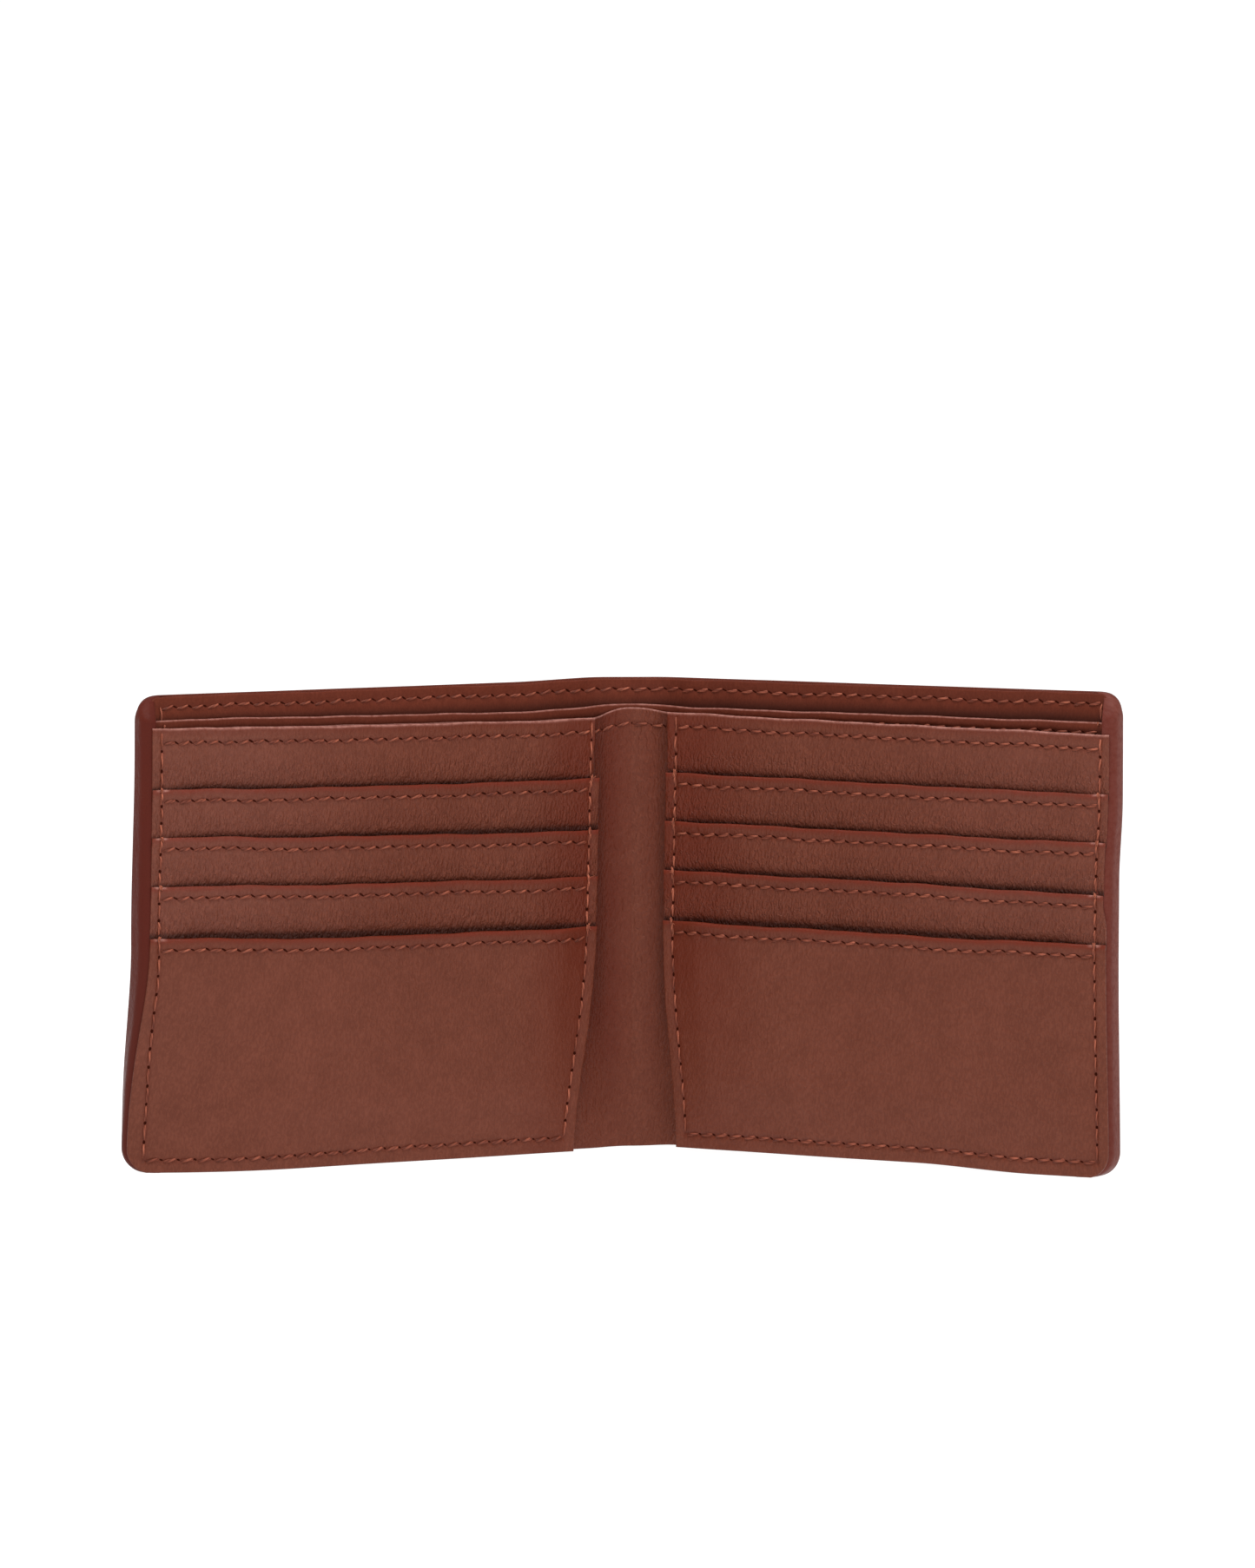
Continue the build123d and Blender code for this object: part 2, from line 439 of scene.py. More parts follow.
class Thread:
    """Collects strands of thread that lie on one half, and makes one mesh of them."""

    def __init__(self, side, seed, outward=False):
        self.fold = FOLDS[side]
        self.chance = np.random.default_rng(seed)
        self.outward = outward
        self.clouds = []
        self.shades = []
        self.dark = []

    def strand(self, face, start, end, radius, sit=0.17, dive=0.3, rise=0.0, flat=0.9,
               bright=(0.0, 0.5), dark=False):
        """Two-ply strand on the leather from start to end. Its ends dive in, or one end rises."""
        s = STRAND
        taper = np.sqrt(np.maximum(1 - np.abs(2 * s) ** (1.6 if dark else 3.2), 0.0)) * 0.97 + 0.03
        ply = np.cos(2 * (AROUND - 4.0 * s - self.chance.uniform(0, 3)))
        width = radius * taper * (1 + (0.0 if dark else 0.13) * ply)
        run = np.subtract(end, start)
        normal = np.array([-run[1], run[0]]) / math.hypot(*run)
        centre_t = (start[0] + end[0]) / 2 + s * run[0]
        centre_z = (start[1] + end[1]) / 2 + s * run[1]
        t = centre_t + width * np.cos(AROUND) * normal[0]
        z = centre_z + width * np.cos(AROUND) * normal[1]
        height = sit - dive * np.abs(2 * s) ** 6 + rise * (0.5 + s) ** 2
        height = height + width * np.sin(AROUND) * flat
        base = face(t, z) if dark else face(centre_t, centre_z)
        depth = base - height if self.outward else base + height
        self.clouds.append(self.fold.place(t, depth, z))
        tint = np.full(t.shape, self.chance.uniform(*bright))
        self.shades.append(np.stack([tint, 0.5 + 0.5 * ply, 0.5 + s + 0 * ply], -1))
        self.dark.append(dark)

    def sew(self, seam, face, bright=(0.0, 0.5)):
        """Stitches of a seam, each slanted and sunk at both ends, and painted shade for the
        needle's slits.
        """
        chance = self.chance
        first = 0 if seam.level and seam.start == 0 and seam.side == "right" else 1
        for index in range(seam.count):
            self.stitch(seam, face, (index + 0.5) * seam.pitch, bright)
            if index >= first:
                self.slit_shade(seam, face, index * seam.pitch + chance.uniform(-0.1, 0.1))

    def stitch(self, seam, face, middle, bright):
        """One visible length of thread."""
        chance = self.chance
        half_length = seam.pitch * chance.uniform(0.38, 0.43)
        if seam.level:
            tilt = STITCH_TILT + math.radians(chance.uniform(-3, 4))
            half_rise = half_length * math.tan(tilt)
            shift = chance.uniform(-0.06, 0.06) - 0.05
            start = seam.point(middle - half_length * seam.sign, shift - half_rise)
            end = seam.point(middle + half_length * seam.sign, shift + half_rise)
            wide, sit = chance.uniform(0.25, 0.30) * seam.thick, 0.12
        else:
            start = seam.point(middle - half_length * 1.12, chance.uniform(-0.12, 0.12))
            end = seam.point(middle + half_length * 1.12, chance.uniform(-0.10, 0.10))
            wide, sit = chance.uniform(0.19, 0.26), 0.13
        self.strand(face, start, end, wide, sit, bright=bright)

    def slit_shade(self, seam, face, along):
        """Dark strand of painted shade for the needle's slit between two stitches."""
        chance = self.chance
        if seam.level:
            reach = chance.uniform(0.42, 0.58) / seam.thick**4
            fall = reach * math.tan(math.radians(chance.uniform(20, 32)))
            start = seam.point(along - reach * seam.sign, 0.08 + fall)
            end = seam.point(along + reach * seam.sign, 0.08 - fall)
            wide, sit = chance.uniform(0.15, 0.20), 0.035
        else:
            reach = chance.uniform(0.28, 0.42)
            lean = chance.uniform(-0.12, 0.12)
            start = seam.point(along - reach, -lean)
            end = seam.point(along + reach, lean)
            wide, sit = chance.uniform(0.22, 0.32), 0.04
        self.strand(face, start, end, wide, sit, 0.0, flat=0.12, dark=True)

    def tack(self, face, t, z, size=1.0):
        """Knot of a few strands where two seams cross a mouth, with a frayed end or two."""
        chance = self.chance
        for _ in range(3):
            a = (t + chance.uniform(-0.35, 0.35), z - chance.uniform(0.5, 1.3) * size)
            b = (t + chance.uniform(-0.35, 0.35), z + chance.uniform(0.4, 0.9) * size)
            self.strand(face, a, b, chance.uniform(0.12, 0.21), 0.28, bright=(0.6, 1.0))
        for _ in range(3):
            turn = chance.uniform(0, 2 * math.pi)
            reach = chance.uniform(0.5, 1.2) * size
            a = (t, z - 0.2)
            b = (t + reach * math.cos(turn), z + reach * math.sin(turn))
            rise = chance.uniform(0.1, 0.5)
            self.strand(face, a, b, 0.055, 0.25, 0.2, rise, bright=(0.7, 1.0))

    def build(self, name):
        """Mesh object of all strands."""
        points = np.concatenate([cloud.reshape(-1, 3) for cloud in self.clouds])
        values = np.concatenate([shade.reshape(-1, 3) for shade in self.shades])
        ring = np.arange(RINGS)[:-1, None] * SIDES
        here = np.arange(SIDES)[None, :]
        after = (here + 1) % SIDES
        quad = np.stack([ring + here, ring + after, ring + SIDES + after, ring + SIDES + here], -1)
        caps_low = np.array([[0, k, k - 1, k - 2] for k in range(SIDES - 1, 1, -2)])
        caps_high = (RINGS - 1) * SIDES + caps_low[:, ::-1]
        one = np.concatenate([quad.reshape(-1, 4), caps_low, caps_high])
        starts = np.arange(len(self.clouds))[:, None, None] * RINGS * SIDES
        faces = (starts + one[None]).reshape(-1, 4)
        piece = make_mesh(name, points, faces, values[:, [0, 2]], {"ply": values}, THREAD_MATERIAL)
        piece.data.materials.append(SLIT_SHADE)
        # Dark strands, the painted shade of the slits, take the second material.
        which = np.repeat(self.dark, len(one)).astype(np.int32)
        piece.data.polygons.foreach_set("material_index", which)
        return piece


# ---- materials
class Nodes:
    """Short way to write the nodes of a material or a world."""

    def __init__(self, tree):
        self.tree = tree

    def feed(self, socket, value):
        """Links a socket into another one, or sets its value."""
        if isinstance(value, bpy.types.NodeSocket):
            self.tree.links.new(value, socket)
        else:
            socket.default_value = value

    def node(self, kind, inputs=(), **settings):
        made = self.tree.nodes.new(kind)
        for key, value in settings.items():
            setattr(made, key, value)
        for key, value in dict(inputs).items():
            self.feed(made.inputs[key], value)
        return made

    def math(self, operation, a, b=0.0, clamp=False):
        made = self.node("ShaderNodeMath", {0: a, 1: b}, operation=operation, use_clamp=clamp)
        return made.outputs[0]

    def plus(self, a, b):
        return self.math("ADD", a, b)

    def minus(self, a, b, clamp=False):
        return self.math("SUBTRACT", a, b, clamp)

    def times(self, a, b, clamp=False):
        return self.math("MULTIPLY", a, b, clamp)

    def mix(self, factor, a, b, blend="MIX"):
        made = self.node("ShaderNodeMix", {0: factor}, data_type="RGBA", blend_type=blend)
        for index, value in ((6, a), (7, b)):
            self.feed(made.inputs[index], (*value, 1) if isinstance(value, tuple) else value)
        return made.outputs[2]

    def multiply(self, base, tint):
        return self.mix(1.0, base, tint, "MULTIPLY")

    def coordinates(self, kind="Object"):
        return self.node("ShaderNodeTexCoord").outputs[kind]

    def attribute(self, name):
        """The three values of a mesh attribute."""
        values = self.node("ShaderNodeAttribute", attribute_name=name).outputs["Vector"]
        return self.node("ShaderNodeSeparateXYZ", {0: values}).outputs

    def stretch(self, vector, factors):
        inputs = {0: vector, 1: factors}
        return self.node("ShaderNodeVectorMath", inputs, operation="MULTIPLY").outputs[0]

    def fit(self, value, low, high, to_low=0.0, to_high=1.0):
        inputs = {0: value, 1: low, 2: high, 3: to_low, 4: to_high}
        made = self.node("ShaderNodeMapRange", inputs, interpolation_type="SMOOTHSTEP")
        return made.outputs[0]

    def noise(self, vector, scale, detail=2.0, roughness=0.5):
        inputs = {"Vector": vector, "Scale": scale, "Detail": detail, "Roughness": roughness}
        return self.node("ShaderNodeTexNoise", inputs).outputs["Fac"]


class Shader(Nodes):
    """A material with one Principled shader."""

    def __init__(self, name):
        self.material = bpy.data.materials.new(name)
        self.material.use_nodes = True
        super().__init__(self.material.node_tree)
        self.surface = self.tree.nodes["Principled BSDF"]

    def set(self, **values):
        for key, value in values.items():
            self.feed(self.surface.inputs[key.replace("_", " ")], value)

    def relief(self, height, strength, distance):
        """Fine surface relief: strength, and the depth in metres."""
        inputs = {"Strength": strength, "Distance": distance, "Height": height}
        self.set(Normal=self.node("ShaderNodeBump", inputs).outputs[0])


RED_LIP = (0.140, 0.0200, 0.0090)      # burnished mouth of a pocket
PAINTED_HIGHLIGHT = (0.36, 0.160, 0.130)        # painted highlight on rims and edges
DEEP_SHADE = (0.016, 0.0030, 0.0016)   # inside a gap
UV_TO_MM = (100, 100, 100)             # UVs are flat leather coordinates over 100
PORE_STRETCH = (1, 0.42, 1)            # the pores are taller than wide
GRAIN_DEPTH = 0.0002


def leather_material(name, colour, dark, burnish_no_sheen, gloss, roughness=0.42, grain=0.8):
    """Satin leather: fine grain, rubbed dark along seams, burnished red at the rims, with a
    painted pale highlight on the rims, painted shade in gaps, and a painted sheen that gives way
    to the burnish colour where worn and by the spine.
    """
    shader = Shader(name)
    node = shader.node
    plus, minus, times = shader.plus, shader.minus, shader.times
    uv = node("ShaderNodeUVMap", uv_map="leather").outputs[0]
    place = shader.stretch(uv, UV_TO_MM)
    sway = shader.noise(place, 0.7, 1.0)
    tall = shader.stretch(place, PORE_STRETCH)
    tall = node("ShaderNodeVectorMath", {0: tall, 1: sway}, operation="ADD").outputs[0]

    fine = shader.noise(tall, 2.6, 2.0, 0.6)
    pebble = node(
        "ShaderNodeTexVoronoi", {"Vector": tall, "Scale": 2.1, "Randomness": 1.0}, feature="F1"
    ).outputs["Distance"]
    cloud = shader.noise(place, 0.16, 4.0, 0.55)
    broad = shader.noise(place, 0.03, 2.0, 0.5)

    wear_and_sheen, shade, coarse = shader.attribute("tone")
    near, red, highlight = shader.attribute("lines")

    speck = shader.fit(minus(fine, times(minus(pebble, 0.4), 0.35)), 0.30, 0.68)
    rich = plus(0.5, times(coarse, 0.15))
    dip = times(minus(1.0, speck), rich)
    base = shader.mix(minus(1.0, dip, clamp=True), dark, colour)
    for patch, low, high in (
        (cloud, (0.95, 0.94, 0.93), (1.05, 1.06, 1.07)),
        (broad, (0.97, 0.96, 0.95), (1.03, 1.04, 1.05)),
    ):
        base = shader.multiply(base, shader.mix(shader.fit(patch, 0.3, 0.7), low, high))
    # Burnish colour without the painted sheen: real wear at mouths and turned edges, painted loss
    # of sheen by the spine.
    wear_and_sheen = times(wear_and_sheen, shader.fit(cloud, 0.25, 0.75, 1.1, 0.8), clamp=True)
    base = shader.mix(wear_and_sheen, base, burnish_no_sheen)
    base = shader.mix(times(near, 0.35), base, burnish_no_sheen)
    patchy = shader.fit(shader.noise(place, 0.35, 3.0, 0.6), 0.35, 0.65, 0.45, 1.0)
    base = shader.mix(times(red, patchy), base, RED_LIP)
    # Painted highlight on rims and edges, broken into flecks.
    fleck = shader.fit(shader.noise(place, 0.9, 3.0, 0.6), 0.36, 0.6, 0.5, 1.0)
    base = shader.mix(times(highlight, fleck), base, PAINTED_HIGHLIGHT)
    base = shader.mix(times(shade, 0.92, clamp=True), base, DEEP_SHADE)

    satin = shader.fit(cloud, 0.25, 0.75, roughness + 0.04, roughness - 0.04)
    rough = plus(satin, shader.fit(fine, 0.35, 0.65, 0.05, -0.04))

    height = plus(times(fine, 0.6), times(pebble, -1.0))
    height = times(height, plus(0.5, times(coarse, 2.3)))
    height = plus(height, times(shader.noise(place, 0.8, 3.0, 0.5), 0.8))
    calm = minus(1.0, times(plus(red, highlight), 0.6), clamp=True)
    shader.relief(times(height, calm), grain, GRAIN_DEPTH)
    shader.set(Base_Color=base, Roughness=rough, Specular_IOR_Level=gloss)
    return shader.material


def thread_material():
    """Waxed two-ply thread, with painted shade in the grooves between the plies and a painted
    highlight towards the end that rises.
    """
    shader = Shader("thread")
    tint, ply, rise = shader.attribute("ply")
    spot = shader.coordinates()
    fuzz = shader.noise(spot, 9000.0, 2.0, 0.6)
    patch = shader.noise(spot, 260.0, 2.0, 0.5)
    # Painted shade in the grooves between the plies.
    colour = shader.mix(shader.fit(ply, 0.1, 0.8), THREAD_DARK, THREAD_LIGHT)
    colour = shader.mix(shader.fit(fuzz, 0.35, 0.7, 0.0, 0.35), colour, THREAD_LIGHT)
    for share, low, high in (
        (tint, (0.72, 0.68, 0.66), (1.45, 1.7, 1.8)),
        # Painted highlight towards the end that rises.
        (shader.fit(rise, 0.1, 0.85), (0.72, 0.68, 0.66), (1.2, 1.24, 1.26)),
        (shader.fit(patch, 0.4, 0.7), (0.82, 0.78, 0.76), (1.08, 1.08, 1.08)),
    ):
        colour = shader.multiply(colour, shader.mix(share, low, high))
    shader.relief(shader.plus(shader.times(fuzz, 0.6), ply), 0.5, 0.00005)
    shader.set(Base_Color=colour, Roughness=0.55, Specular_IOR_Level=0.2)
    return shader.material


def slit_shade_material():
    """Painted shade inside the needle's slits."""
    shader = Shader("slit_shade")
    patch = shader.noise(shader.coordinates(), 2500.0, 2.0, 0.5)
    colour = shader.mix(patch, (0.015, 0.0026, 0.0014), (0.046, 0.0080, 0.0040))
    shader.set(Base_Color=colour, Roughness=1.0, Specular_IOR_Level=0.0)
    return shader.material


def board_material():
    """Plain fibre board, hidden between cover and lining."""
    shader = Shader("board")
    fibre = shader.noise(shader.coordinates(), 900.0, 4.0, 0.6)
    colour = shader.mix(shader.fit(fibre, 0.3, 0.7), (0.10, 0.06, 0.035), (0.20, 0.13, 0.08))
    shader.relief(fibre, 0.4, 0.0001)
    shader.set(Base_Color=colour, Roughness=0.8)
    return shader.material


# The panel's colour carries a painted greyish sheen that stands for the reflection of the studio
# light; its burnish colour is the same leather without that painted sheen, used where the leather
# is burnished and where the sheen is painted away.
PANEL = leather_material(
    "panel_leather",
    colour=(0.145, 0.0385, 0.0210), dark=(0.092, 0.0205, 0.0105), burnish_no_sheen=(0.112, 0.0190, 0.0085),
    gloss=0.14,
)
LINER = leather_material(
    "lining_leather",
    colour=(0.122, 0.0245, 0.0118), dark=(0.092, 0.0170, 0.0080), burnish_no_sheen=(0.128, 0.0270, 0.0150),
    gloss=0.08, roughness=0.5, grain=0.4,
)
OUTER = leather_material(
    "cover_leather",
    colour=(0.110, 0.0225, 0.0125), dark=(0.085, 0.0160, 0.0088), burnish_no_sheen=(0.102, 0.0175, 0.0115),
    gloss=0.05, grain=0.5,
)
THREAD_LIGHT = (0.27, 0.068, 0.036)
THREAD_DARK = (0.135, 0.028, 0.014)
THREAD_MATERIAL = thread_material()
SLIT_SHADE = slit_shade_material()
BOARD = board_material()


# ---- joining pieces to bodies
def attach(piece, side, nodes, bend=False):
    """Joins a piece to its half, or bakes a piece that crosses the fold into place, and hides the
    CAD nodes that it stands for.
    """
    if bend:
        fold = FOLDS[side]
        start = fold.place(HINGE_X - BEND, HINGE_DEPTH, HEIGHT / 2)
        end = fold.place(HINGE_X + BEND, HINGE_DEPTH, HEIGHT / 2)
        tuple(start)
        tuple(end)
        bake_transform(piece)
    else:
        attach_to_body(piece, f"{side}_half")
    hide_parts(*nodes)


def crossing(side, name, spine=None):
    """CAD nodes of a sheet or seam that crosses the spine: the left piece has the spine's too."""
    return [f"{side}_{name}"] + [f"spine_{spine or name}"] * (side == "left")


# ---- layers that cross the spine
FINE_COLUMNS = 0.5
HEM_WAVE = 0.12


def level(height, seed=0, sway=0.0):
    """Height along a level seam, with a little unevenness."""
    return lambda t: height + sway * wobble(t, seed) + 0 * t


def panel_lift(side, t, z):
    """The inner panel's top edge, buckled upwards at the spine."""
    top = 0.55 * bump(t / 5.0) + panel_tilt(side, t) - 0.55 * smooth((t - 2) / 7)
    if side == "right":
        top = top - 0.35 * smooth(t / 60)
    return top * smooth((z - 30) / 55)


def divider_lift(side, t, z):
    """The divider's top edge: lower towards the middle of each half."""
    rise = 1.1 * smooth((t - 15) / (END - 15)) if side == "left" else 0.0
    return (rise - 1.35 - 0.55 * smooth(t / 15)) * z / HEIGHT


BACK_RADIUS = {"left": 2.0, "right": 2.3}
FRONT_RADIUS = 1.9


class Edge:
    """Rounded edge of the cover at the free end, from the outer face to under the card panel."""

    def __init__(self, side, z):
        self.deep = wall_depth(z)
        self.end = end_at(z)
        self.back = np.minimum(BACK_RADIUS[side], 0.5 * self.deep)
        self.front = np.minimum(FRONT_RADIUS, 0.5 * self.deep)
        self.run = self.deep - self.back - self.front

    def length(self, tuck=1.0):
        """Length of the flat leather, with what is tucked in."""
        arcs = (self.back + self.front) * math.pi / 2
        return self.end - self.back + arcs + self.run + tuck

    def past(self, q):
        """Distance round the edge from where the bend begins."""
        return q - (self.end - self.back)

    def wrap(self, q, leather):
        """t and depth of the flat leather's points when it is turned in."""
        past = self.past(q)
        first = np.clip(past / self.back, 0, math.pi / 2)
        on_side = past - self.back * math.pi / 2
        second = np.clip((on_side - self.run) / self.front, 0, math.pi / 2)
        tucked = np.maximum(on_side - self.run - self.front * math.pi / 2, 0)
        radius = np.maximum(self.back - leather, 0.05)
        t = np.where(past > 0, self.end - self.back + radius * np.sin(first), q)
        depth = np.where(past > 0, self.back - radius * np.cos(first), leather)
        depth = depth + np.clip(on_side, 0, self.run)
        radius = np.maximum(self.front - leather, 0.05)
        turned = second > 0
        t = np.where(turned, self.end - self.front + radius * np.cos(second) - tucked, t)
        depth = np.where(turned, self.deep - self.front + radius * np.sin(second), depth)
        return t, depth


def make_cover(side):
    """Outer leather, turned in round the free end."""
    seams = cover_seams(side)

    def place(q, leather, z):
        t, depth = Edge(side, z).wrap(q, leather)
        return FOLDS[side].place(t, depth, z)

    columns = grid_lines(0, END + 7.2, 0.6, [(0, 12), (END - 5, END + 7.5)], 0.33)
    rows = grid_lines(0, HEIGHT, 1.2, [(0, 6), (HEIGHT - 7, HEIGHT)], 0.3)
    sheet = Sheet(side, columns, rows, lambda z: 0 * z, lambda z: Edge(side, z).length())
    past = Edge(side, sheet.z).past(sheet.t)
    face = sum(seam.press(sheet.t, sheet.z) for seam in seams)
    face = face + 0.07 * wobble(sheet.z, 2, (17.0, 9.0)) * smooth((past - 3) / 2)
    back = np.full_like(face, COVER_LEATHER)
    sheet.tone[..., 0] = 0.9 * smooth(past / 2.0)
    if side == "left":
        # Painted shade on the left's turned edge.
        sheet.tone[..., 1] = 0.14 * smooth(past / 3) + 0.12 * smooth((past - 5) / 2)
    else:
        # Painted grazing highlight on the right's turned edge, weaker on its inner side.
        wear_and_sheen = 1 - 0.55 * smooth((past - 4.5) / 2)
        sheet.lines[..., 2] = 0.2 * smooth((past - 1) / 2) * wear_and_sheen
    rims = {"start": 0, "low": 0.45, "high": 0.55, "end": 0.35}
    piece = build_sheet(
        f"{side}_cover_leather", sheet, face, back, OUTER, rims, seams, place=place, outward=True
    )
    attach(piece, side, crossing(side, "cover"), bend=True)


def cover_seams(side):
    """Seams that show on the outer face."""
    foot = inner_seam(side, BOTTOM_SEAM), outer_seam(side, BOTTOM_SEAM)
    return [
        Seam(side, True, level(BOTTOM_SEAM), *foot),
        Seam(side, False, lambda z: outer_seam(side, z), BOTTOM_SEAM, TOP_SEAM),
        Seam(side, True, level(TOP_SEAM), 0.0, outer_seam(side, TOP_SEAM)),
    ]


def make_stiffener(side):
    """Hidden board behind the lining."""
    columns = grid_lines(STIFFENER.start, STIFFENER.end, 3.0)
    rows = grid_lines(STIFFENER.low, STIFFENER.high, 3.0)
    sheet = Sheet(
        side, columns, rows, lambda z: STIFFENER.start + 0 * z, lambda z: end_at(z) - 2.9
    )
    inside = 0.05
    face = np.full_like(sheet.t, STIFFENER.inner - inside)
    back = np.full_like(sheet.t, STIFFENER.outer + inside)
    piece = build_sheet(f"{side}_board", sheet, face, back, BOARD, {"low": 0.15})
    attach(piece, side, [f"{side}_stiffener"])


class Sewn:
    """Leather with seams. Its kinds say how deep it lies and how far it is raised."""

    def face(self, t, z):
        """Depth of the visible face with its stitches pressed in."""
        return self.depth(t, z) - sum(seam.press(t, z) for seam in self.seams)

    def lifted_face(self, t, z):
        """The same at the uneven height of the leather."""
        return self.face(t, z - self.raised(t, z))

    def lifted(self, seam):
        """A seam at the uneven height of the leather, and the face that it lies on."""

        def point(along, away):
            t, z = seam.point(along, away)
            return t, z + self.raised(t, z)

        moved = copy.copy(seam)
        moved.point = point
        return moved, self.lifted_face


class Layer(Sewn):
    """Sheet that crosses the spine: where its face lies and how it is sewn."""

    def __init__(self, side, inner, top, pinch, hem, lift=None):
        self.side = side
        self.inner = inner      # depth of the inner face in the halves
        self.top = top
        self.pinch = pinch      # how much closer to the cover it lies at the spine
        self.lift = lift
        end = outer_seam(side, hem) - 1.3
        self.seams = [Seam(side, True, level(hem, 3 + (side == "left"), HEM_WAVE), 0.0, end)]

    def raised(self, t, z):
        """z with the layer's uneven height taken in."""
        up = self.lift(self.side, t, z) if self.lift else 0.0
        sway = 0.12 * wobble(t, 3.0 + (self.side == "left")) * smooth(z / HEIGHT) * smooth(t / 10)
        return up + sway

    def depth(self, t, z):
        """Depth of the inner face without its stitches."""
        puff = 0.18 * smooth(1 - (self.top - z) / 3.0) * smooth(t / 12)
        raised = 1.2 * turned_in(t) * (0.15 + 0.85 * smooth((HEIGHT - z) / 9))
        pinch = self.pinch * (0.3 + 0.7 * smooth((z - 10) / 50))
        return self.inner - pinch * (1 - smooth(t / (HINGE_X + 2.5))) + puff + raised


def make_layer(layer, name, material, nodes, ripples=0.0, shade_at=None, hem_rim=0.3, highlight=0.7):
    """Lining, divider or inner panel of one half."""
    side = layer.side
    columns = grid_lines(0, END - 1.4, FINE_COLUMNS, [(0, 14)], 0.4)
    rows = grid_lines(0.25, layer.top, 3.0, [(layer.top - 7, layer.top), (0, 8)], 0.3)
    sheet = Sheet(side, columns, rows, lambda z: 0 * z, lambda z: end_at(z) - 1.15)
    t, z = sheet.t, sheet.z
    face = layer.face(t, z)
    if ripples:
        near_top = smooth((z - (layer.top - 10)) / 8)
        near_foot = smooth((13 - z) / 12)
        at_spine = 1 - smooth((t - 6.0) / 4)
        crease = np.sin(2.1 * t + 0.6 * np.sin(0.4 * z)) + 0.6 * np.sin(3.7 * t + 1.0)
        face = face + ripples * crease * at_spine * (0.7 * near_top + near_foot)
    back = layer.depth(t, z) - SHEET
    tone = sheet.tone
    if ripples:
        # Across the spine strip: painted loss of sheen, stronger on the left and weaker at the
        # foot; painted shade beside the pockets' edges and on the left.
        tone[..., 0] = (0.95 if side == "left" else 0.35) * (0.5 + 0.5 * smooth((t - 0.5) / 4))
        tone[..., 0] *= 0.3 + 0.7 * smooth((z - 4) / 22)
        tone[..., 1] = 0.22 * smooth((t - 4.5) / 2.5) * smooth((z - 16) / 20)
        if side == "left":
            tone[..., 1] += 0.09 * smooth((t - 1) / 3) * smooth((z - 6) / 14)
        tone[..., 2] = 0.3
    # Painted shade, set by the layer's shade function.
    if shade_at:
        tone[..., 1] = shade_at(t, z)
    # Painted highlight along the top edge.
    sheet.lines[..., 2] = highlight * smooth((z - (layer.top - 0.42)) / 0.28)
    rims = {"start": 0, "high": hem_rim}
    lift = layer.raised(t, z)
    piece = build_sheet(f"{side}_{name}", sheet, face, back, material, rims, layer.seams, lift)
    attach(piece, side, nodes, bend=True)


# ---- the card panel
EDGE_MARGIN = {"left": (0.8, 2.3), "right": (2.1, 2.4)}    # backing, pockets
MOUTH_DROP = {"left": (0.8, 0.73, 0.73, 0.3, 0.9), "right": (0.55, 0.58, 0.42, 0.42, 0.75)}
END_LIFT = {"left": (0.35, 0.4, 0.4, 0.4, 1.0), "right": (0.0, 0.3, 0.3, 0.0, 0.7)}
MOUTH_LEAN = {"left": (0.8, 0.75, 1.45, 1.2, 0.6), "right": (1.1, 1.25, 0.85, 0.8, 1.0)}
LIP = 0.42            # how far a pocket's free mouth stands off
PUFF = 0.24           # how far the leather between two mouths swells
TUCK = 0.43           # how far it turns in behind the next mouth


